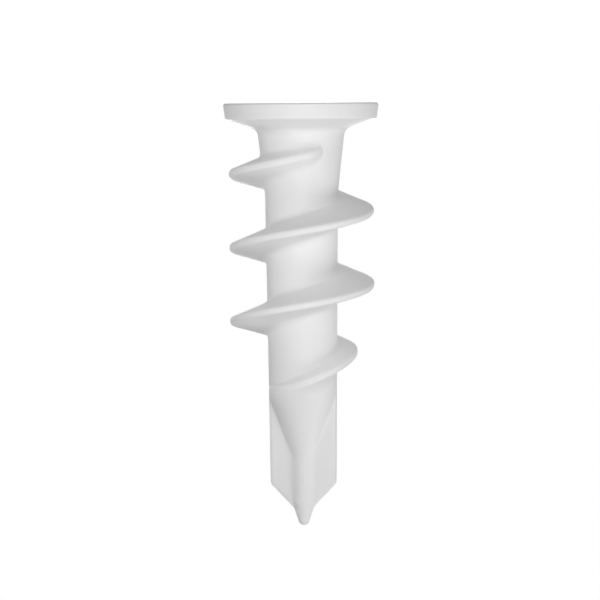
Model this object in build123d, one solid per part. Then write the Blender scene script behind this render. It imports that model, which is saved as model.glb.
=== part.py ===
from build123d import *
import os
from math import acos, atan2, cos, hypot, isclose, radians, sin, tan

# Self-drilling plasterboard anchor, moulded in one piece of nylon.
# Z = 0 is the outer face of the head and +Z runs along the axis to the tip.
# A section point is (distance from the axis, height). Sizes are in millimetres and degrees.

# Head: a thin flange with a drafted rim and a shallow conical underside
LENGTH = 38.0
HEAD_DIAMETER = 14.0
HEAD_RIM_HEIGHT = 1.4
HEAD_RIM_DRAFT = 8.0
HEAD_EDGE_BEVEL = 0.2
HEAD_UNDERSIDE_SLOPE = 19.0

# Shank: a flared neck, then a barrel that narrows a little towards the tip
NECK_DIAMETER = 7.85
NECK_FILLET = 0.9
NECK_END = 8.2
SHANK_DIAMETER = 6.54
SHANK_DRAFT = 0.68

# Drill end: the barrel closes in a cone to a round rib that runs down the middle of a flat blade.
# Its lengths are measured back from the tip.
DRILL_LENGTH = 11.6
CONE_HALF_ANGLE = 20.7
CONE_EDGE_RADIUS = 1.6
RIB_DIAMETER = 2.1
NIB_LENGTH = 2.05
NIB_DIAMETER = 2.05
TIP_RADIUS = 0.5
BLADE_THICKNESS = 1.0
BLADE_INSET = 0.02
BLADE_END_LENGTH = 1.28
BLADE_CORNER_RADIUS = 0.4
BLADE_SHOULDER_ANGLE = 44.0
BLADE_BEVEL = 0.3
BLADE_TURN = 8.0
RIB_ROOT_FLARE = 0.25

# Thread: one deep right-handed fin, with its foot sunk into the barrel by the root depth.
# Turns are counted from the +X side. The last turn ends a margin short of the cone.
THREAD_DIAMETER = 13.0
THREAD_PITCH = 6.6
THREAD_FIRST_CREST = 6.38
THREAD_CREST_WIDTH = 0.54
THREAD_CREST_ROUND = 0.3
THREAD_HEAD_FLANK = 20.0
THREAD_TIP_FLANK = 12.5
THREAD_ROOT_FLARE = 0.45
THREAD_ROOT_DEPTH = 0.3
THREAD_START_TURN = -0.36
THREAD_RUN_IN_TURNS = 0.32
THREAD_RUN_IN_POWER = 1.2
THREAD_RUN_IN_LEAN = 0.2
THREAD_RUN_OUT_TURNS = 0.97
THREAD_RUN_OUT_FLANK = 50.0
THREAD_SWAY = 0.45
THREAD_SWAY_ANGLE = 414.0
THREAD_SWAY_POWER = 1.6
THREAD_END_MARGIN = 0.09
THREAD_END_SINK = 0.2
THREAD_SECTIONS_PER_TURN = 24

# Screw hole, whose taper starts a lead short of the cone, and the cross recess for the screwdriver
BORE_DIAMETER = 3.3
BORE_TAPER_LEAD = 2.9
BORE_TAPER_LENGTH = 5.5
BORE_END_DIAMETER = 1.6
RECESS_SPAN = 6.0
RECESS_WING_WIDTH = 1.9
RECESS_DEPTH = 5.2
RECESS_BOTTOM_SPAN = 3.8
RECESS_BOTTOM_WING_WIDTH = 1.3
RECESS_CORNER_RADIUS = 0.3
RECESS_MOUTH_BEVEL = 0.15

# Heights and turns that follow from these sizes
cone_start = LENGTH - DRILL_LENGTH
blade_end = LENGTH - BLADE_END_LENGTH
nib_start = LENGTH - NIB_LENGTH
thread_end_turn = (cone_start - THREAD_END_MARGIN - THREAD_FIRST_CREST) / THREAD_PITCH
run_out_turn = thread_end_turn - THREAD_RUN_OUT_TURNS


def shank_radius(height):
    """Radius of the neck and barrel, without their fillets."""
    if height < NECK_END:
        flare = (NECK_END - height) / (NECK_END - neck_start())
        return SHANK_DIAMETER / 2 + flare * (NECK_DIAMETER - SHANK_DIAMETER) / 2
    return SHANK_DIAMETER / 2 - (height - NECK_END) * tan(radians(SHANK_DRAFT))


def rim_bottom_radius():
    return HEAD_DIAMETER / 2 - HEAD_RIM_HEIGHT * tan(radians(HEAD_RIM_DRAFT))


def neck_start():
    """Height at which the conical underside of the head reaches the neck."""
    return HEAD_RIM_HEIGHT + (rim_bottom_radius() - NECK_DIAMETER / 2) * tan(radians(HEAD_UNDERSIDE_SLOPE))


def cone_end():
    """Height at which the closing cone has come down to the rib."""
    return cone_start + (shank_radius(cone_start) - RIB_DIAMETER / 2) / tan(radians(CONE_HALF_ANGLE))


def make_core():
    """Head, shank, closing cone, rib and nib: everything that is round about the axis.

    The tip's small round is drawn in two facets.
    """
    tip_centre = LENGTH - TIP_RADIUS
    nib_length = tip_centre - nib_start
    nib_radius = NIB_DIAMETER / 2
    nib_angle = acos(TIP_RADIUS / hypot(nib_radius, nib_length)) - atan2(nib_length, nib_radius)
    round_start = (TIP_RADIUS * cos(nib_angle), tip_centre + TIP_RADIUS * sin(nib_angle))
    middle_angle = (nib_angle + radians(90)) / 2
    round_middle = (TIP_RADIUS * cos(middle_angle), tip_centre + TIP_RADIUS * sin(middle_angle))

    head_radius = HEAD_DIAMETER / 2
    underside = tan(radians(HEAD_UNDERSIDE_SLOPE))
    corners = [
        (0, 0),
        (head_radius - HEAD_EDGE_BEVEL, 0),
        (head_radius, HEAD_EDGE_BEVEL),
        (rim_bottom_radius(), HEAD_RIM_HEIGHT - HEAD_EDGE_BEVEL),
        (rim_bottom_radius() - HEAD_EDGE_BEVEL, HEAD_RIM_HEIGHT + HEAD_EDGE_BEVEL * underside),
        (NECK_DIAMETER / 2, neck_start()),
        (SHANK_DIAMETER / 2, NECK_END),
        (shank_radius(cone_start), cone_start),
        (RIB_DIAMETER / 2, cone_end()),
        (nib_radius, nib_start),
        round_start,
    ]
    radii = [0, 0, 0, 0, NECK_FILLET, 0, CONE_EDGE_RADIUS, CONE_EDGE_RADIUS, 0]
    outline = FilletPolyline(*corners, radius=radii)
    tip = Polyline(round_start, round_middle, (0, LENGTH), (0, 0))
    section = make_face(Plane.XZ * Curve([outline, tip]))
    return revolve(section, Axis.Z)


def make_blade():
    """Flat drill blade, nearly as wide as the barrel, with sloping shoulders and bevelled edges."""
    top_half_width = shank_radius(cone_start) - BLADE_INSET
    end_half_width = shank_radius(blade_end) - BLADE_INSET
    inner_half_width = NIB_DIAMETER / 4
    # The corner is where the straight line of the shoulder meets that of the side.
    closing = tan(radians(BLADE_SHOULDER_ANGLE)) - tan(radians(SHANK_DRAFT))
    corner_height = blade_end - (end_half_width - inner_half_width) / closing
    corner_half_width = shank_radius(corner_height) - BLADE_INSET
    corners = [
        (top_half_width, cone_start),
        (corner_half_width, corner_height),
        (inner_half_width, blade_end),
        (-inner_half_width, blade_end),
        (-corner_half_width, corner_height),
        (-top_half_width, cone_start),
    ]
    outline = FilletPolyline(*corners, radius=[BLADE_CORNER_RADIUS, 0, 0, BLADE_CORNER_RADIUS])
    top_line = Line((-top_half_width, cone_start), (top_half_width, cone_start))
    section = make_face(Plane.XZ * Curve([outline, top_line]))
    slab = extrude(section, BLADE_THICKNESS / 2, both=True)
    outer_edges = [
        edge
        for edge in slab.edges()
        if abs(edge.center().X) > inner_half_width and abs(edge.center().Y) > BLADE_THICKNESS / 4
    ]
    return chamfer(outer_edges, BLADE_BEVEL)


def make_body():
    """The round core and the blade, flared where the rib and cone stand out of the blade's faces."""
    core = make_core()
    blade = make_blade()
    joined = core + blade
    face_edges = [
        edge
        for edge in new_edges(core, blade, combined=joined)
        if isclose(abs(edge.center().Y), BLADE_THICKNESS / 2, abs_tol=0.001)
    ]
    return Rot(0, 0, BLADE_TURN) * chamfer(face_edges, RIB_ROOT_FLARE)


def run_in_share(turn):
    """How far along its run-in the thread is, from 0 at its start to 1 where it is full."""
    return min(1, (turn - THREAD_START_TURN) / THREAD_RUN_IN_TURNS)


def run_out_share(turn):
    """How far along its run-out the thread is, from 0 where it starts to fall to 1 at its end."""
    return max(0, (turn - run_out_turn) / THREAD_RUN_OUT_TURNS)


def crest_height(turn):
    """Height of the middle of the crest, on a helix.

    The crest leans to the head as it runs in. As it runs out, it sways to the head and to the tip.
    """
    lean = THREAD_RUN_IN_LEAN * (1 - run_in_share(turn))
    sway = THREAD_SWAY * sin(radians(THREAD_SWAY_ANGLE) * run_out_share(turn) ** THREAD_SWAY_POWER)
    return THREAD_FIRST_CREST + THREAD_PITCH * turn - lean - sway


def crest_radius(turn):
    """Radius of the crest: it swells out of the neck, stays full, then sinks into the barrel."""
    sunk = shank_radius(crest_height(turn)) - THREAD_END_SINK
    swell = run_in_share(turn) ** THREAD_RUN_IN_POWER * (1 - run_out_share(turn))
    return sunk + (THREAD_DIAMETER / 2 - sunk) * swell


def thread_section(turn):
    """Section of the fin at one place along the thread, in a plane through the axis."""
    height = crest_height(turn)
    crest = crest_radius(turn)
    rise = max(THREAD_END_SINK, crest - shank_radius(height))
    crest_round = min(THREAD_CREST_ROUND, rise / 2)
    flare_start = crest - rise + min(THREAD_ROOT_FLARE, 0.4 * rise)
    root = crest - rise - THREAD_ROOT_DEPTH
    tip_flank = THREAD_TIP_FLANK + (THREAD_RUN_OUT_FLANK - THREAD_TIP_FLANK) * run_out_share(turn) ** 3

    def side(flank_angle, towards):
        """Corners from the crest down one side: rounded edge, flank, and a flare into the barrel."""
        bend = radians(90 - flank_angle)
        land = max(THREAD_CREST_WIDTH / 2 - crest_round * tan(bend / 2), 0.05)
        flank_start = crest - crest_round * (1 - cos(bend))
        flank_start_width = land + crest_round * sin(bend)
        flank_end_width = flank_start_width + (flank_start - flare_start) * tan(radians(flank_angle))
        widths = [
            (crest, land),
            (crest - crest_round * (1 - cos(bend / 2)), land + crest_round * sin(bend / 2)),
            (flank_start, flank_start_width),
            (flare_start, flank_end_width),
            (root, flank_end_width + flare_start - root),
        ]
        return [(radius, height + towards * width) for radius, width in widths]

    head_side = side(THREAD_HEAD_FLANK, -1)
    tip_side = side(tip_flank, 1)
    outline = Polyline(*head_side, *reversed(tip_side), head_side[0])
    return Rot(0, 0, 360 * turn) * make_face(Plane.XZ * outline)


def make_thread():
    """One solid fin, lofted through sections that follow the helix."""
    turns = thread_end_turn - THREAD_START_TURN
    count = round(turns * THREAD_SECTIONS_PER_TURN)
    sections = [thread_section(THREAD_START_TURN + turns * step / count) for step in range(count + 1)]
    return loft(sections, ruled=True)


def make_bore():
    """Blind hole for the screw: parallel from the recess down, then closing inside the cone."""
    taper_start = cone_start - BORE_TAPER_LEAD
    bore_end = taper_start + BORE_TAPER_LENGTH
    outline = Polyline(
        (0, 0),
        (BORE_DIAMETER / 2, 0),
        (BORE_DIAMETER / 2, taper_start),
        (BORE_END_DIAMETER / 2, bore_end),
        (0, bore_end),
        (0, 0),
    )
    return revolve(make_face(Plane.XZ * outline), Axis.Z)


def make_recess():
    """Tapered cross that takes the screwdriver."""
    mouth = RectangleRounded(RECESS_SPAN, RECESS_WING_WIDTH, RECESS_CORNER_RADIUS)
    bottom = RectangleRounded(RECESS_BOTTOM_SPAN, RECESS_BOTTOM_WING_WIDTH, RECESS_CORNER_RADIUS)
    wing = loft([mouth, Pos(0, 0, RECESS_DEPTH) * bottom])
    return wing + Rot(0, 0, 90) * wing


anchor_body = make_body() + make_thread() - make_bore() - make_recess()
head_face = anchor_body.faces().sort_by(Axis.Z)[0]
anchor_body = chamfer(head_face.inner_wires()[0].edges(), RECESS_MOUTH_BEVEL)

os.makedirs("parts", exist_ok=True)
export_step(anchor_body, "parts/anchor_body.step")
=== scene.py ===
# %% [markdown]
# A self-drilling plasterboard anchor is one piece of moulded nylon: a thin head, a barrel with a
# deep helical fin, and a flat drill blade with a rib down its middle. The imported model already
# has these forms with plain bevels. This script makes the same anchor with the soft edges of a
# real moulding, gives it a satin nylon finish, and sets up a light and a camera for it.
# The anchor stands on its head, so the tip points up along +Z, and the camera is upside down.

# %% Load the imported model
from math import acos, atan2, cos, hypot, pi, radians, sin, tan

import bmesh
import bpy
import numpy as np
from mathutils import Matrix, Vector


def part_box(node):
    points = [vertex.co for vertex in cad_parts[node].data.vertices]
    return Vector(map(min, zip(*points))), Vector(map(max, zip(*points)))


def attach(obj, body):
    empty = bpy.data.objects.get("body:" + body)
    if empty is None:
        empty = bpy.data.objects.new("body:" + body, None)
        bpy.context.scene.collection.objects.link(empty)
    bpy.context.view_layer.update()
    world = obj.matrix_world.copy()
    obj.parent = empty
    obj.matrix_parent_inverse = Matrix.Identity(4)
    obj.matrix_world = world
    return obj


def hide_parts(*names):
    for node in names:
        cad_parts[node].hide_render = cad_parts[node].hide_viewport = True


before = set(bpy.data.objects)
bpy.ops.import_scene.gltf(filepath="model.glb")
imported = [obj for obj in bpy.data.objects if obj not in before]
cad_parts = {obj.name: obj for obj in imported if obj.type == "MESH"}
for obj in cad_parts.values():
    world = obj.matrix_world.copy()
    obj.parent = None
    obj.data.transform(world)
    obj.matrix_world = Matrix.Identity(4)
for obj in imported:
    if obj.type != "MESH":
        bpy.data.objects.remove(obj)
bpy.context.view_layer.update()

MM = 0.001
low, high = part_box("anchor_body")
LENGTH = (high.z - low.z) / MM
HEAD_DIAMETER = (high.x - low.x) / MM
print(f"anchor: {LENGTH:.2f} mm long, head {HEAD_DIAMETER:.2f} mm across")

# %% [markdown]
# The camera comes first, because every later choice is judged through it. A long lens from a
# third of a metre gives the flat, catalogue-like view. The lens follows from the distance and
# from how large one millimetre is in the picture, which is 600 pixels wide.

# %% Camera
PICTURE_SIZE = 600.0
PIXELS_PER_MM = 11.14
CAMERA_DISTANCE = 340.0
CAMERA_HEIGHT = 0.3
CAMERA_ROLL = 0.45
CAMERA_CLIP = (10.0, 20000.0)
PICTURE_X = 302.3
PICTURE_Y = 314.55
SENSOR_WIDTH = 36.0


def add_object(name, data):
    """A new object that holds the given data, linked to the scene."""
    added = bpy.data.objects.new(name, data)
    bpy.context.scene.collection.objects.link(added)
    return added


def look_at(position, target, up):
    """Matrix of a camera at one point that faces another, with the given up direction."""
    forward = (target - position).normalized()
    right = forward.cross(up).normalized()
    top = right.cross(forward)
    turn = Matrix((right, top, -forward)).transposed()
    return Matrix.LocRotScale(position, turn.to_quaternion(), None)


camera_data = bpy.data.cameras.new("camera")
camera_data.sensor_width = SENSOR_WIDTH
camera_data.lens = PIXELS_PER_MM * CAMERA_DISTANCE * SENSOR_WIDTH / PICTURE_SIZE
camera_data.clip_start, camera_data.clip_end = (limit * MM for limit in CAMERA_CLIP)
camera = add_object("camera", camera_data)
bpy.context.scene.camera = camera

aim_x = (PICTURE_X - PICTURE_SIZE / 2) / PIXELS_PER_MM
aim_z = LENGTH / 2 - (PICTURE_Y - PICTURE_SIZE / 2) / PIXELS_PER_MM
roll = radians(CAMERA_ROLL)
camera.matrix_world = look_at(
    Vector((aim_x, -CAMERA_DISTANCE, CAMERA_HEIGHT)) * MM,
    Vector((aim_x, 0, aim_z)) * MM,
    Vector((-sin(roll), 0, -cos(roll))),
)
print(f"camera: {camera_data.lens:.1f} mm lens, {CAMERA_DISTANCE:.0f} mm away")

# %% [markdown]
# The body without its fin can be read as a stack of rings. Each ring is a closed outline that is
# star-shaped about the axis, so one radius for each angle describes it. Stacking the rings from
# the tip, over the outside to the head, and back along the screw hole gives one closed skin with
# no seams. A stack of rings was chosen over joined primitives because the rib can then melt into
# the blade inside a ring, as it does in a moulding.

# %% Sizes of the body, in millimetres and degrees
COLUMNS = 288
CORE_SPAN = 0.3
FACE_RING_INSET = 1.0
HEAD_RIM_HEIGHT = 1.4
HEAD_RIM_DRAFT = 8.0
HEAD_EDGE_ROUND = 0.2
HEAD_UNDERSIDE_SLOPE = 19.0
NECK_DIAMETER = 7.85
NECK_FILLET = 0.9
NECK_END = 8.2
NECK_END_RADIUS = 6.0
SHANK_DIAMETER = 6.54
SHANK_DRAFT = 0.68
DRILL_LENGTH = 11.6
CONE_HALF_ANGLE = 20.7
CONE_EDGE_RADIUS = 1.6
RIB_DIAMETER = 2.1
NIB_LENGTH = 2.05
NIB_DIAMETER = 2.05
NIB_SHOULDER_RADIUS = 0.8
TIP_RADIUS = 0.5
TIP_STEPS = 8
BLADE_THICKNESS = 1.0
BLADE_INSET = 0.02
BLADE_CORNER_LENGTH = 3.8
BLADE_CORNER_RADIUS = 0.4
BLADE_SHOULDER_ANGLE = 44.0
BLADE_EDGE_ROUND = 0.3
BLADE_TURN = 8.0
RIB_ROOT_BLEND = 0.45
NIB_ROOT_BLEND = 0.12

cone_start = LENGTH - DRILL_LENGTH
nib_start = LENGTH - NIB_LENGTH
blade_corner = LENGTH - BLADE_CORNER_LENGTH
print(f"drill end: cone from {cone_start:.2f} mm, corners at {blade_corner:.2f}, nib from {nib_start:.2f}")


# %% Outlines with rounded corners
def rounded_outline(corners, radii, arc_step=6.0):
    """Points along an open outline whose inner corners are replaced by arcs."""
    points = [corners[0]]
    for before, corner, after, radius in zip(corners, corners[1:], corners[2:], radii):
        if radius == 0:
            points.append(corner)
            continue
        corner_point = Vector(corner)
        towards_before = (Vector(before) - corner_point).normalized()
        towards_after = (Vector(after) - corner_point).normalized()
        half_angle = towards_before.angle(towards_after) / 2
        bisector = (towards_before + towards_after).normalized()
        centre = corner_point + bisector * (radius / sin(half_angle))
        start = corner_point + towards_before * (radius / tan(half_angle)) - centre
        turn = start.angle_signed(corner_point + towards_after * (radius / tan(half_angle)) - centre)
        steps = max(2, round(abs(turn) / radians(arc_step)))
        for step in range(steps + 1):
            spoke = start.copy()
            spoke.rotate(Matrix.Rotation(-turn * step / steps, 2))
            points.append(tuple(centre + spoke))
    points.append(corners[-1])
    return points


def subdivided(points, longest):
    """The same outline with extra points, so that no span is longer than the given length."""
    result = [points[0]]
    for start, end in zip(points, points[1:]):
        spans = max(1, round(hypot(end[0] - start[0], end[1] - start[1]) / longest))
        for span in range(1, spans + 1):
            share = span / spans
            result.append((start[0] + (end[0] - start[0]) * share, start[1] + (end[1] - start[1]) * share))
    return result


# %% The round core: head, neck, barrel, cone, rib and nib
def shank_radius(height):
    """Radius of the neck and barrel at a height, without their fillets."""
    if height < NECK_END:
        flare = (NECK_END - height) / (NECK_END - neck_start)
        return SHANK_DIAMETER / 2 + flare * (NECK_DIAMETER - SHANK_DIAMETER) / 2
    return SHANK_DIAMETER / 2 - (height - NECK_END) * tan(radians(SHANK_DRAFT))


head_radius = HEAD_DIAMETER / 2
rim_bottom_radius = head_radius - HEAD_RIM_HEIGHT * tan(radians(HEAD_RIM_DRAFT))
neck_start = HEAD_RIM_HEIGHT + (rim_bottom_radius - NECK_DIAMETER / 2) * tan(radians(HEAD_UNDERSIDE_SLOPE))
cone_end = cone_start + (shank_radius(cone_start) - RIB_DIAMETER / 2) / tan(radians(CONE_HALF_ANGLE))
core_corners = [
    (head_radius - FACE_RING_INSET, 0),
    (head_radius, 0),
    (rim_bottom_radius, HEAD_RIM_HEIGHT),
    (NECK_DIAMETER / 2, neck_start),
    (SHANK_DIAMETER / 2, NECK_END),
    (shank_radius(cone_start), cone_start),
    (RIB_DIAMETER / 2, cone_end),
    (NIB_DIAMETER / 2, nib_start),
]
nib_length = LENGTH - TIP_RADIUS - nib_start
nib_spread = acos(TIP_RADIUS / hypot(NIB_DIAMETER / 2, nib_length))
nib_angle = nib_spread - atan2(nib_length, NIB_DIAMETER / 2)
for step in range(TIP_STEPS):
    angle = nib_angle + (pi / 2 - nib_angle) * step / TIP_STEPS
    core_corners.append((TIP_RADIUS * cos(angle), LENGTH - TIP_RADIUS + TIP_RADIUS * sin(angle)))
core_radii = [
    HEAD_EDGE_ROUND,
    HEAD_EDGE_ROUND,
    NECK_FILLET,
    NECK_END_RADIUS,
    CONE_EDGE_RADIUS,
    CONE_EDGE_RADIUS,
    NIB_SHOULDER_RADIUS,
]
core_radii += [0] * (len(core_corners) - 2 - len(core_radii))
core_outline = subdivided(rounded_outline(core_corners, core_radii), CORE_SPAN)
print(f"core outline: {len(core_outline)} points")

# %% [markdown]
# Inside a ring, the blade is a rectangle written in polar form, and the rib is a circle. A smooth
# maximum of the two radii unites them with a small fillet, and a smooth minimum rounds the
# blade's edges. Both are the same short formula.

# %% Blended radii
NEVER_ZERO = 1e-9
angles = np.arange(COLUMNS) * 2 * pi / COLUMNS


def smooth_max(first, second, blend):
    """The larger of two values, with a fillet where they are nearly equal."""
    share = np.clip(1 - np.abs(first - second) / blend, 0, 1)
    return np.maximum(first, second) + share * share * blend / 4


def smooth_min(first, second, blend):
    """The smaller of two values, with the corner between them rounded."""
    return -smooth_max(-first, -second, blend)


def bar_radius(half_length, half_width, edge_round, turn=0.0):
    """Polar radius of a rectangle about the axis, with rounded corners."""
    along = np.abs(np.cos(angles - radians(turn))) + NEVER_ZERO
    across = np.abs(np.sin(angles - radians(turn))) + NEVER_ZERO
    return smooth_min(half_length / along, half_width / across, edge_round)


blade_outline = rounded_outline(
    [
        (shank_radius(cone_start) - BLADE_INSET, cone_start),
        (shank_radius(blade_corner) - BLADE_INSET, blade_corner),
        (0, blade_corner + shank_radius(blade_corner) / tan(radians(BLADE_SHOULDER_ANGLE))),
    ],
    [BLADE_CORNER_RADIUS],
)


def outer_ring(radius, height):
    """Radii all round the outside at one height of the core's outline."""
    ring = np.full(COLUMNS, radius)
    if cone_start < height < blade_outline[-1][1]:
        half_width = np.interp(height, [p[1] for p in blade_outline], [p[0] for p in blade_outline])
        blade = bar_radius(half_width, BLADE_THICKNESS / 2, BLADE_EDGE_ROUND, BLADE_TURN)
        blend = np.interp(height, [blade_corner, nib_start], [RIB_ROOT_BLEND, NIB_ROOT_BLEND])
        ring = np.minimum(smooth_max(ring, blade, blend), max(shank_radius(height), radius))
    return ring


print(f"blade: {BLADE_THICKNESS} mm thick, point at {blade_outline[-1][1]:.2f} mm")

# %% [markdown]
# The head's outer face holds a cross recess for the screwdriver, and the screw hole goes on
# behind it. In polar form the cross is the larger of two bars. It tapers, and it gives way to the
# round hole where the hole is wider.

# %% Recess and screw hole
BORE_DIAMETER = 3.3
BORE_TAPER_LEAD = 2.9
BORE_TAPER_LENGTH = 5.5
BORE_END_DIAMETER = 1.6
RECESS_SPAN = 6.0
RECESS_WING_WIDTH = 1.9
RECESS_DEPTH = 5.2
RECESS_BOTTOM_SPAN = 3.8
RECESS_BOTTOM_WING_WIDTH = 1.3
RECESS_CORNER_ROUND = 0.3
RECESS_MOUTH_ROUND = 0.2
RECESS_STEPS = 12
MOUTH_STEPS = 4
BORE_SPAN = 1.0

taper_start = cone_start - BORE_TAPER_LEAD
bore_end = taper_start + BORE_TAPER_LENGTH


def recess_ring(depth, widening=0.0):
    """Radii all round the cross recess at one depth, with the screw hole joined to it."""
    share = depth / RECESS_DEPTH
    half_span = (RECESS_SPAN + (RECESS_BOTTOM_SPAN - RECESS_SPAN) * share) / 2 + widening
    half_width = (RECESS_WING_WIDTH + (RECESS_BOTTOM_WING_WIDTH - RECESS_WING_WIDTH) * share) / 2 + widening
    wing = bar_radius(half_span, half_width, RECESS_CORNER_ROUND)
    other_wing = bar_radius(half_span, half_width, RECESS_CORNER_ROUND, 90.0)
    cross = smooth_max(wing, other_wing, RECESS_CORNER_ROUND)
    return smooth_max(cross, np.full(COLUMNS, BORE_DIAMETER / 2), RECESS_CORNER_ROUND)


print(f"screw hole: {BORE_DIAMETER} mm wide to {taper_start:.2f} mm, closed at {bore_end:.2f} mm")

# %% Stack the rings into one closed skin
def ring_points(radii, heights):
    """The points of a ring, from its radii and its height."""
    heights = np.broadcast_to(heights, radii.shape)
    return np.stack([radii * np.cos(angles), radii * np.sin(angles), heights], axis=1)


def build_skin(rings, first_pole, last_pole):
    """Closed mesh over a stack of rings, with a pole at each end."""
    vertices = [first_pole]
    for ring in rings:
        vertices.extend(ring.tolist())
    vertices.append(last_pole)
    faces = []
    last = len(vertices) - 1
    for column in range(COLUMNS):
        following = (column + 1) % COLUMNS
        faces.append((0, 1 + column, 1 + following))
        for row in range(len(rings) - 1):
            here = 1 + row * COLUMNS
            below = here + COLUMNS
            faces.append((here + column, below + column, below + following, here + following))
        bottom = 1 + (len(rings) - 1) * COLUMNS
        faces.append((bottom + column, last, bottom + following))
    mesh = bpy.data.meshes.new("anchor_core")
    mesh.from_pydata([Vector(vertex) * MM for vertex in vertices], [], faces)
    mesh.update()
    return mesh


outside = [ring_points(outer_ring(radius, height), height) for radius, height in reversed(core_outline)]
mouth = []
for step in range(MOUTH_STEPS + 1):
    angle = radians(90 * step / MOUTH_STEPS)
    widening = RECESS_MOUTH_ROUND * (1 - sin(angle))
    depth = RECESS_MOUTH_ROUND * (1 - cos(angle))
    mouth.append(ring_points(recess_ring(depth, widening), depth))
depths = np.linspace(RECESS_MOUTH_ROUND, RECESS_DEPTH, RECESS_STEPS)[1:]
walls = [ring_points(recess_ring(depth), depth) for depth in depths]
bore_outline = subdivided(
    [
        (BORE_DIAMETER / 2, RECESS_DEPTH),
        (BORE_DIAMETER / 2, taper_start),
        (BORE_END_DIAMETER / 2, bore_end),
    ],
    BORE_SPAN,
)
bore = [ring_points(np.full(COLUMNS, radius), height) for radius, height in bore_outline]
skin = build_skin(outside + mouth + walls + bore, (0, 0, LENGTH), (0, 0, bore_end))
core = add_object("anchor_core", skin)
print(f"skin: {len(skin.vertices)} vertices, {len(skin.polygons)} faces")

# %% [markdown]
# The fin follows a rule, so Geometry Nodes make it. The tree starts from a closed cylinder whose
# long side becomes the way along the helix and whose circle becomes the fin's section. One Set
# Position node then bends it: for each vertex the tree works out how far along the thread it is,
# which side of the crest it is on, and how far down that side. A swept profile curve would be
# shorter, but it leans with the helix and can't swell and run out as a moulded thread does.

# %% Sizes of the fin
THREAD_DIAMETER = 13.0
THREAD_PITCH = 6.6
THREAD_FIRST_CREST = 6.38
THREAD_CREST_WIDTH = 0.54
THREAD_CREST_ROUND = 0.3
THREAD_HEAD_FLANK = 20.0
THREAD_TIP_FLANK = 12.5
THREAD_ROOT_FILLET = 0.7
THREAD_ROOT_DEPTH = 0.3
THREAD_END_MARGIN = 0.09
THREAD_END_RISE = 0.05
THREAD_END_SINK = 0.2
THREAD_FIT = 0.004
LEAST_LAND = 0.02
ARC_SHARE = 0.98
RUN_IN_START = -0.36
RUN_IN_TURNS = 0.32
RUN_IN_POWER = 1.7
RUN_IN_LEAN = 0.1
RUN_IN_HEAD_FLANK = 30.0
RUN_IN_TIP_FLANK = 45.0
RUN_IN_FILLET = 1.0
NOSE_RISE = 0.36
NOSE_SHARE = 0.28
RUN_OUT_TURNS = 0.97
RUN_OUT_SWAY = 0.45
RUN_OUT_SWAY_ANGLE = 414.0
RUN_OUT_SWAY_POWER = 1.6
RUN_OUT_OPENING_START = 0.45
RUN_OUT_OPENING_END = 0.9
RUN_OUT_HEAD_FLANK = 35.0
RUN_OUT_HEAD_ROUND = 0.12
RUN_OUT_HEAD_FILLET = 0.3
RUN_OUT_TIP_FLANK = 72.0
RUN_OUT_TIP_FILLET = 4.0
HEEL_RISE = 0.06
HEEL_SHARE = 0.15
SECTIONS_PER_TURN = 120
SECTION_POINTS = 47

thread_end_turn = (cone_start - THREAD_END_MARGIN - THREAD_FIRST_CREST) / THREAD_PITCH
run_out_turn = thread_end_turn - RUN_OUT_TURNS
print(f"thread: {thread_end_turn - RUN_IN_START:.2f} turns, {THREAD_PITCH} mm apart")

# %% [markdown]
# The rule of the fin is a page of arithmetic, and a tree of Math nodes wired one link at a time
# would hide it. A small class wraps a socket instead, so each sum or product in the script adds
# one Math node and gives its output back. A drawn tree would hold the same nodes.


# %% Helpers that write node trees as formulas
class Formula:
    """Wraps a node socket, so that a tree's arithmetic can be written as arithmetic."""

    def __init__(self, tree, socket):
        self.tree = tree
        self.socket = socket

    def node(self, operation, *values):
        """Adds one Math node that takes this value first, and returns its result."""
        node = self.tree.nodes.new("ShaderNodeMath")
        node.operation = operation
        for slot, value in zip(node.inputs, (self, *values)):
            if isinstance(value, Formula):
                self.tree.links.new(value.socket, slot)
            else:
                slot.default_value = value
        return Formula(self.tree, node.outputs[0])

    def __add__(self, other):
        return self.node("ADD", other)

    def __sub__(self, other):
        return self.node("SUBTRACT", other)

    def __mul__(self, other):
        return self.node("MULTIPLY", other)

    def __truediv__(self, other):
        return self.node("DIVIDE", other)

    def __neg__(self):
        return self.node("MULTIPLY", -1.0)

    def above(self, other):
        return self.node("MAXIMUM", other)

    def below(self, other):
        return self.node("MINIMUM", other)

    def sine(self):
        return self.node("SINE")

    def cosine(self):
        return self.node("COSINE")

    def tangent(self):
        return self.node("TANGENT")

    def share(self, start, end):
        """How far this value is from start to end, kept between 0 and 1."""
        return ((self - start) / (end - start)).above(0.0).below(1.0)

    def eased(self):
        """A share that starts and ends gently."""
        return self * self * (self * -2.0 + 3.0)


def pick(switch, low_value, high_value):
    """low_value where the switch is 0 and high_value where it is 1."""
    return low_value + (high_value - low_value) * switch


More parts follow.
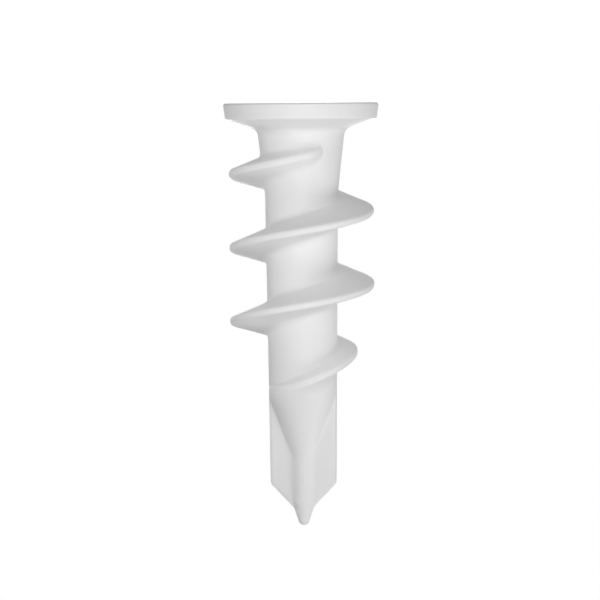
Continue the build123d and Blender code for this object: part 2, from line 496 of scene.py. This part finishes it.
# %% The tree of the fin and its named sizes
fin_tree = bpy.data.node_groups.new("helical_fin", "GeometryNodeTree")
fin_tree.interface.new_socket("Geometry", in_out="OUTPUT", socket_type="NodeSocketGeometry")
fin_input = fin_tree.nodes.new("NodeGroupInput")
fin_output = fin_tree.nodes.new("NodeGroupOutput")
fin_sizes = {
    "Crest Radius": THREAD_DIAMETER / 2,
    "Pitch": THREAD_PITCH,
    "First Crest": THREAD_FIRST_CREST,
    "Crest Width": THREAD_CREST_WIDTH,
    "Crest Round": THREAD_CREST_ROUND,
    "Head Flank": radians(THREAD_HEAD_FLANK),
    "Tip Flank": radians(THREAD_TIP_FLANK),
    "Root Fillet": THREAD_ROOT_FILLET,
    "Root Depth": THREAD_ROOT_DEPTH,
    "End Rise": THREAD_END_RISE,
    "End Sink": THREAD_END_SINK,
    "Fit": THREAD_FIT,
    "Least Land": LEAST_LAND,
    "Arc Share": ARC_SHARE,
    "Run In Start": RUN_IN_START,
    "Run In End": RUN_IN_START + RUN_IN_TURNS,
    "Run In Power": RUN_IN_POWER,
    "Run In Lean": RUN_IN_LEAN,
    "Run In Head Flank": radians(RUN_IN_HEAD_FLANK),
    "Run In Tip Flank": radians(RUN_IN_TIP_FLANK),
    "Run In Fillet": RUN_IN_FILLET,
    "Nose Rise": NOSE_RISE,
    "Nose Share": NOSE_SHARE,
    "Run Out Start": run_out_turn,
    "Run Out End": thread_end_turn,
    "Run Out Sway": RUN_OUT_SWAY,
    "Run Out Sway Angle": radians(RUN_OUT_SWAY_ANGLE),
    "Run Out Sway Power": RUN_OUT_SWAY_POWER,
    "Run Out Opening Start": RUN_OUT_OPENING_START,
    "Run Out Opening End": RUN_OUT_OPENING_END,
    "Run Out Head Flank": radians(RUN_OUT_HEAD_FLANK),
    "Run Out Head Round": RUN_OUT_HEAD_ROUND,
    "Run Out Head Fillet": RUN_OUT_HEAD_FILLET,
    "Run Out Tip Flank": radians(RUN_OUT_TIP_FLANK),
    "Run Out Tip Fillet": RUN_OUT_TIP_FILLET,
    "Heel Rise": HEEL_RISE,
    "Heel Share": HEEL_SHARE,
    "Barrel Radius": SHANK_DIAMETER / 2,
    "Barrel Draft": tan(radians(SHANK_DRAFT)),
    "Neck End": NECK_END,
    "Neck Draft": (NECK_DIAMETER - SHANK_DIAMETER) / 2 / (NECK_END - neck_start),
    "Cone Start": cone_start,
    "Cone Draft": tan(radians(CONE_HALF_ANGLE)) - tan(radians(SHANK_DRAFT)),
    "Cone Edge": CONE_EDGE_RADIUS * tan(radians(CONE_HALF_ANGLE - SHANK_DRAFT) / 2),
}
identifiers = {}
for name in fin_sizes:
    socket = fin_tree.interface.new_socket(name, in_out="INPUT", socket_type="NodeSocketFloat")
    identifiers[name] = socket.identifier
material_socket = fin_tree.interface.new_socket("Material", in_out="INPUT", socket_type="NodeSocketMaterial")


def size(name):
    """One of the tree's named inputs."""
    return Formula(fin_tree, fin_input.outputs[name])


# %% The cylinder, and where each of its points belongs
cylinder = fin_tree.nodes.new("GeometryNodeMeshCylinder")
cylinder.fill_type = "NGON"
cylinder.inputs["Vertices"].default_value = SECTION_POINTS
cylinder.inputs["Side Segments"].default_value = round(
    (thread_end_turn - RUN_IN_START) * SECTIONS_PER_TURN
)
cylinder.inputs["Radius"].default_value = 1.0
cylinder.inputs["Depth"].default_value = 1.0
position = fin_tree.nodes.new("GeometryNodeInputPosition")
split = fin_tree.nodes.new("ShaderNodeSeparateXYZ")
fin_tree.links.new(position.outputs[0], split.inputs[0])
circle_x, circle_y, cylinder_z = (Formula(fin_tree, output) for output in split.outputs)

# Around runs from -1 at the end of the head side, over 0 at the crest, to 1 at the end of the tip
# side. The circle's last points lie half a step short of half a turn, which the factor makes up.
around = circle_y.node("ARCTAN2", circle_x) * (SECTION_POINTS / (SECTION_POINTS - 1) / pi)
tip_side = around.node("SIGN").share(-1.0, 1.0)
direction = tip_side * 2.0 - 1.0
level = around.node("ABSOLUTE")
turn = pick(cylinder_z.share(-0.5, 0.5), size("Run In Start"), size("Run Out End"))
print(f"fin: {cylinder.inputs['Side Segments'].default_value} sections of {SECTION_POINTS} points")

# %% [markdown]
# The real fin starts in the neck as a blunt nose, and in its last turn it sinks into the cone while
# its crest sways towards the head. Each end could be a mesh of its own, but then its joint would
# show. Here a share from 0 to 1 along each end scales how high the crest stands over the ground
# below it, so the fin stays one piece.

# %% Where the crest runs, and how high it stands
run_in = turn.share(size("Run In Start"), size("Run In End"))
run_out = turn.share(size("Run Out Start"), size("Run Out End"))
remaining = -run_out + 1.0
nose = (run_in / size("Nose Share")).below(1.0).eased()
heel = (remaining / size("Heel Share")).below(1.0).eased()
swell_in = pick(size("Nose Rise"), run_in.node("POWER", size("Run In Power")), nose)
swell_out = pick(size("Heel Rise"), remaining, heel)
swell = swell_in * swell_out
lean = size("Run In Lean") * (-run_in + 1.0)
sway_angle = run_out.node("POWER", size("Run Out Sway Power")) * size("Run Out Sway Angle")
sway = size("Run Out Sway") * sway_angle.sine()
crest_height = size("First Crest") + size("Pitch") * turn + lean - sway


def ground_radius(height):
    """Radius of the neck, barrel or cone under the fin."""
    past_neck = height - size("Neck End")
    barrel = size("Barrel Radius") - past_neck.above(0.0) * size("Barrel Draft")
    # Over the cone's rounded edge the drop starts as a parabola, and then goes on straight.
    edge = size("Cone Edge")
    past_edge = height - size("Cone Start") + edge
    on_edge = past_edge.above(0.0).below(edge * 2.0)
    cone = on_edge * on_edge / (edge * 4.0) + (past_edge - edge * 2.0).above(0.0)
    return barrel - past_neck.below(0.0) * size("Neck Draft") - cone * size("Cone Draft")


sunk_radius = ground_radius(crest_height) - size("End Sink")
crest_radius = pick(swell, sunk_radius, size("Crest Radius"))

# %% [markdown]
# On each side of the crest the section is a rounded corner, a straight flank and a root fillet,
# and then a tail inside the barrel. Where the fin is low, two arcs and a flank no longer fit.
# There the arcs keep their size and meet at a gentler slope, as a moulding's fillets do. Towards
# the end of the run-out the head side stays crisp, with small arcs, and the tip side opens until
# it is nearly flush with the cone. The root fillet ends a hair under the barrel's surface, so the
# two surfaces cross and never lie on each other.

# %% The section: its flank and its two arcs
head_side = -tip_side + 1.0
opening = run_out.share(size("Run Out Opening Start"), size("Run Out Opening End")).eased()
ground = (ground_radius(crest_height) - size("Fit")).below(crest_radius - size("End Rise"))
rise = crest_radius - ground
head_flank = pick(opening, size("Head Flank"), size("Run Out Head Flank"))
head_flank = pick(run_in, size("Run In Head Flank"), head_flank)
tip_flank = pick(opening, size("Tip Flank"), size("Run Out Tip Flank"))
tip_flank = pick(run_in, size("Run In Tip Flank"), tip_flank)
flank = pick(tip_side, head_flank, tip_flank)
crest_round = pick(head_side * opening, size("Crest Round"), size("Run Out Head Round"))
root_fillet = pick(run_in, size("Run In Fillet"), size("Root Fillet"))
run_out_fillet = pick(tip_side, size("Run Out Head Fillet"), size("Run Out Tip Fillet"))
root_fillet = pick(opening, root_fillet, run_out_fillet)
rounds = crest_round + root_fillet
low_bend = (-(rise * size("Arc Share") / rounds) + 1.0).above(0.0).node("ARCCOSINE")
bend = (-flank + pi / 2).below(low_bend)
flank = -bend + pi / 2
flank_length = (rise - rounds * (-bend.cosine() + 1.0)) / flank.cosine()
land = (size("Crest Width") / 2.0 - crest_round * (bend / 2.0).tangent()).above(size("Least Land"))

# %% The section: how far out and how far down each point is
# The shares of one side's points at which the land, the crest's arc, the flank, the root's arc and
# the tail begin and end.
STAGES = (0.0, 0.08, 0.38, 0.56, 0.92, 1.0)
crest_turn = bend * level.share(STAGES[1], STAGES[2])
along_flank = flank_length * level.share(STAGES[2], STAGES[3])
root_turn = bend * level.share(STAGES[3], STAGES[4])
tail = level.share(STAGES[4], STAGES[5])
width = land * level.share(STAGES[0], STAGES[1])
width = width + crest_round * crest_turn.sine() + along_flank * flank.sine()
width = width + root_fillet * (bend.sine() - (bend - root_turn).sine())
drop = crest_round * (-crest_turn.cosine() + 1.0) + along_flank * flank.cosine()
drop = drop + root_fillet * ((bend - root_turn).cosine() - bend.cosine())
height = crest_height + direction * width
below_crest_ground = ground_radius(height) - ground_radius(crest_height)
radius = crest_radius - drop - size("Root Depth") * tail + below_crest_ground * (drop / rise)

# %% Bend the cylinder into the fin
full_turn = turn * (2 * pi)
placed = fin_tree.nodes.new("ShaderNodeCombineXYZ")
for slot, value in zip(placed.inputs, (radius * full_turn.cosine(), radius * full_turn.sine(), height)):
    fin_tree.links.new((value * MM).socket, slot)
bend_node = fin_tree.nodes.new("GeometryNodeSetPosition")
realize = fin_tree.nodes.new("GeometryNodeRealizeInstances")
paint = fin_tree.nodes.new("GeometryNodeSetMaterial")
fin_tree.links.new(cylinder.outputs["Mesh"], bend_node.inputs["Geometry"])
fin_tree.links.new(placed.outputs[0], bend_node.inputs["Position"])
fin_tree.links.new(bend_node.outputs[0], realize.inputs[0])
fin_tree.links.new(realize.outputs[0], paint.inputs["Geometry"])
fin_tree.links.new(fin_input.outputs["Material"], paint.inputs["Material"])
fin_tree.links.new(paint.outputs[0], fin_output.inputs[0])
print(f"fin tree: {len(fin_tree.nodes)} nodes")

# %% [markdown]
# White nylon is a little translucent: light goes in, spreads under the surface and comes out
# again, which softens every edge. Principled's subsurface does that. The surface is satin rather
# than glossy, with a very fine grain from the mould, so a noise drives the roughness and a slight
# bump. Object coordinates keep the grain fixed to the part.

# %% Satin nylon
NYLON_COLOUR = (0.86, 0.86, 0.86, 1.0)
NYLON_SUBSURFACE = 0.25
NYLON_SUBSURFACE_DEPTH = 0.6
NYLON_SPECULAR = 0.35
NYLON_ROUGHNESS = (0.42, 0.56)
GRAIN_PER_MM = 1.2
GRAIN_DETAIL = 3.0
GRAIN_STRENGTH = 0.12
GRAIN_DEPTH = 0.01


def map_range(tree, value, to_range, from_range=(0.0, 1.0)):
    """The output of a Map Range node that carries a value from one range to another."""
    node = tree.nodes.new("ShaderNodeMapRange")
    for end, start_level, end_level in zip(("Min", "Max"), from_range, to_range):
        node.inputs[f"From {end}"].default_value = start_level
        node.inputs[f"To {end}"].default_value = end_level
    tree.links.new(value, node.inputs["Value"])
    return node.outputs["Result"]


nylon = bpy.data.materials.new("satin_nylon")
nylon.use_nodes = True
nodes = nylon.node_tree.nodes
links = nylon.node_tree.links
shader = nodes["Principled BSDF"]
shader.inputs["Base Color"].default_value = NYLON_COLOUR
shader.inputs["Subsurface Weight"].default_value = NYLON_SUBSURFACE
shader.inputs["Subsurface Radius"].default_value = (1.0, 1.0, 1.0)
shader.inputs["Subsurface Scale"].default_value = NYLON_SUBSURFACE_DEPTH * MM
shader.inputs["Specular IOR Level"].default_value = NYLON_SPECULAR
coordinates = nodes.new("ShaderNodeTexCoord")
grain = nodes.new("ShaderNodeTexNoise")
grain.inputs["Scale"].default_value = GRAIN_PER_MM / MM
grain.inputs["Detail"].default_value = GRAIN_DETAIL
links.new(coordinates.outputs["Object"], grain.inputs["Vector"])
links.new(map_range(nylon.node_tree, grain.outputs["Fac"], NYLON_ROUGHNESS), shader.inputs["Roughness"])
grain_bump = nodes.new("ShaderNodeBump")
grain_bump.inputs["Strength"].default_value = GRAIN_STRENGTH
grain_bump.inputs["Distance"].default_value = GRAIN_DEPTH * MM
links.new(grain.outputs["Fac"], grain_bump.inputs["Height"])
links.new(grain_bump.outputs["Normal"], shader.inputs["Normal"])
print(f"material: {nylon.name}")

# %% [markdown]
# The tree works only while it is a modifier on an object. The object starts with an empty mesh,
# gets its sizes through the modifier, and its result is then read back as a plain mesh, which no
# later edit of the tree can change.

# %% Grow the fin
fin = add_object("anchor_fin", bpy.data.meshes.new("anchor_fin"))
grow = fin.modifiers.new("helical_fin", "NODES")
grow.node_group = fin_tree
for name, value in fin_sizes.items():
    grow[identifiers[name]] = value
grow[material_socket.identifier] = nylon
print(f"fin: {len(fin_sizes)} sizes set on {grow.name}")


# %% Turn evaluated objects into plain meshes
MERGE_DISTANCE = 1e-4


def plain_mesh(obj, name):
    """The object's evaluated mesh, with its modifiers applied."""
    depsgraph = bpy.context.evaluated_depsgraph_get()
    mesh = bpy.data.meshes.new_from_object(obj.evaluated_get(depsgraph))
    mesh.name = name
    return mesh


def face_outwards(mesh):
    """Merges doubled vertices and turns every face outwards."""
    work = bmesh.new()
    work.from_mesh(mesh)
    bmesh.ops.remove_doubles(work, verts=work.verts, dist=MERGE_DISTANCE * MM)
    bmesh.ops.recalc_face_normals(work, faces=work.faces)
    work.to_mesh(mesh)
    work.free()


fin_mesh = plain_mesh(fin, "anchor_fin")
fin.modifiers.clear()
fin.data = fin_mesh
face_outwards(fin_mesh)
face_outwards(skin)
print(f"fin: {len(fin_mesh.polygons)} faces")

# %% [markdown]
# The fin and the skin now overlap a little, and both are closed. A Boolean union makes them one
# moulding, with the fin's root fillet ending in the barrel.

# %% Unite the fin and the body
unite = core.modifiers.new("unite", "BOOLEAN")
unite.operation = "UNION"
unite.solver = "EXACT"
unite.object = fin
moulding_mesh = plain_mesh(core, "anchor_moulding")
core.modifiers.clear()
bpy.data.objects.remove(fin)
bpy.data.objects.remove(core)
moulding_mesh.materials.clear()
moulding_mesh.materials.append(nylon)
moulding_mesh.polygons.foreach_set("material_index", [0] * len(moulding_mesh.polygons))
moulding_mesh.shade_smooth()
moulding = add_object("anchor_moulding", moulding_mesh)
check = bmesh.new()
check.from_mesh(moulding_mesh)
open_edges = sum(1 for edge in check.edges if not edge.is_manifold)
triangles = sum(len(face.verts) - 2 for face in check.faces)
volume = check.calc_volume() / MM**3
check.free()
print(f"moulding: {triangles} triangles, {open_edges} open edges, {volume:.0f} cubic mm")

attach(moulding, "root")
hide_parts("anchor_body")

# %% [markdown]
# The stage is a pale floor under a pale sky. To the camera the background is plain white, and for
# the light that reaches the anchor it has an ordinary level. The Light Path node tells the two
# apart. The floor glows for the camera and still adds its lit colour, so the anchor's shadow stays
# on it. Close to the anchor the lamps light the floor too, so it glows less there, or the shadow
# would drown in white. From below the floor is clear, and it has a hole under the head, so the
# head's outer face and its recess can be seen too.

# %% What the camera sees, and what lights the anchor
def seen_directly(tree):
    """1 for what the camera sees, directly or through gloss or glass, and 0 for light on the part."""
    path = tree.nodes.new("ShaderNodeLightPath")
    camera_ray, glossy_ray, glass_ray = (
        Formula(tree, path.outputs[name])
        for name in ("Is Camera Ray", "Is Glossy Ray", "Is Transmission Ray")
    )
    return camera_ray.above(glossy_ray).above(glass_ray)


# %% Floor
FLOOR_REACH = 3000.0
FLOOR_HOLE_INSET = 0.1
FLOOR_GAP = 0.02
FLOOR_SIDES = 96

floor_points = []
floor_faces = []
for side in range(FLOOR_SIDES):
    angle = 2 * pi * side / FLOOR_SIDES
    following = (side + 1) % FLOOR_SIDES
    for edge in (HEAD_DIAMETER / 2 - FLOOR_HOLE_INSET, FLOOR_REACH):
        floor_points.append(Vector((edge * cos(angle), edge * sin(angle), -FLOOR_GAP)) * MM)
    floor_faces.append((2 * side, 2 * side + 1, 2 * following + 1, 2 * following))
floor_mesh = bpy.data.meshes.new("floor")
floor_mesh.from_pydata(floor_points, [], floor_faces)
floor = add_object("floor", floor_mesh)
print(f"floor: {len(floor_faces)} faces, {FLOOR_GAP} mm under the head")

# %% Paint of the floor
FLOOR_BOUNCE = 0.5
FLOOR_SEEN = 0.95
FLOOR_GLOW = (0.44, 0.65)
FLOOR_GLOW_REACH = (14.0, 60.0)

floor_paint = bpy.data.materials.new("pale_floor")
floor_paint.use_nodes = True
floor_tree = floor_paint.node_tree
floor_tree.nodes.clear()
lit, glow, both, clear, sides = (
    floor_tree.nodes.new(kind)
    for kind in (
        "ShaderNodeBsdfDiffuse",
        "ShaderNodeEmission",
        "ShaderNodeAddShader",
        "ShaderNodeBsdfTransparent",
        "ShaderNodeMixShader",
    )
)
place = floor_tree.nodes.new("ShaderNodeTexCoord")
distance = floor_tree.nodes.new("ShaderNodeVectorMath")
distance.operation = "LENGTH"
floor_tree.links.new(place.outputs["Object"], distance.inputs[0])
seen = seen_directly(floor_tree)
glow_reach = [edge * MM for edge in FLOOR_GLOW_REACH]
glow_level = Formula(floor_tree, map_range(floor_tree, distance.outputs["Value"], FLOOR_GLOW, glow_reach))
facing = floor_tree.nodes.new("ShaderNodeNewGeometry")
surface = floor_tree.nodes.new("ShaderNodeOutputMaterial")
for output, entry in (
    (map_range(floor_tree, seen.socket, (FLOOR_BOUNCE, FLOOR_SEEN)), lit.inputs["Color"]),
    ((seen * glow_level).socket, glow.inputs["Strength"]),
    (lit.outputs[0], both.inputs[0]),
    (glow.outputs[0], both.inputs[1]),
    (facing.outputs["Backfacing"], sides.inputs["Fac"]),
    (both.outputs[0], sides.inputs[1]),
    (clear.outputs[0], sides.inputs[2]),
    (sides.outputs[0], surface.inputs["Surface"]),
):
    floor_tree.links.new(output, entry)
floor_mesh.materials.append(floor_paint)
print(f"floor: glows {FLOOR_GLOW[0]} at the anchor and {FLOOR_GLOW[1]} from {FLOOR_GLOW_REACH[1]:.0f} mm on")

# %% Sky
SKY_LIGHT = 0.38

world = bpy.data.worlds.new("studio")
world.use_nodes = True
bpy.context.scene.world = world
sky = world.node_tree.nodes["Background"]
sky.inputs["Color"].default_value = (1.0, 1.0, 1.0, 1.0)
sky_level = map_range(world.node_tree, seen_directly(world.node_tree).socket, (SKY_LIGHT, 1.0))
world.node_tree.links.new(sky_level, sky.inputs["Strength"])
print(f"sky: {SKY_LIGHT} for the light on the anchor, 1 for the camera")

# %% [markdown]
# Soft lamps do the modelling. The main one is low, wide and close to the head's end, straight in
# front, so the head and the neck are the brightest and both flanks of the fin stay grey. A weak
# one from the left lifts the left edge. The third stands on the right beyond the tip, and leaves
# the left flank of the rib and the cone in shade. A weak lamp behind keeps the far side readable.
# The Standard view transform then shows each level as it is lit.


# %% Lamps
def soft_lamp(name, aim, side, rise, distance, width, height, power):
    """A lamp aimed at one height of the axis. Side is the angle from the camera's line."""
    data = bpy.data.lights.new(name, "AREA")
    data.shape = "RECTANGLE"
    data.size = width * MM
    data.size_y = height * MM
    data.energy = power
    lamp = add_object(name, data)
    target = Vector((0, 0, aim)) * MM
    outwards = Vector((-sin(radians(side)), -cos(radians(side)), tan(radians(rise)))).normalized()
    lamp.matrix_world = look_at(target + outwards * distance * MM, target, Vector((0, 0, 1)))


soft_lamp("head_lamp", aim=6, side=0, rise=0, distance=70, width=40, height=12, power=0.0178)
soft_lamp("left_lamp", aim=6, side=-60, rise=0, distance=70, width=40, height=12, power=0.005)
soft_lamp("tip_lamp", aim=19, side=60, rise=35, distance=200, width=120, height=60, power=0.107)
soft_lamp("back_lamp", aim=19, side=180, rise=0, distance=200, width=60, height=60, power=0.12)
bpy.context.scene.view_settings.view_transform = "Standard"
print(f"lamps: {len(bpy.data.lights)}")
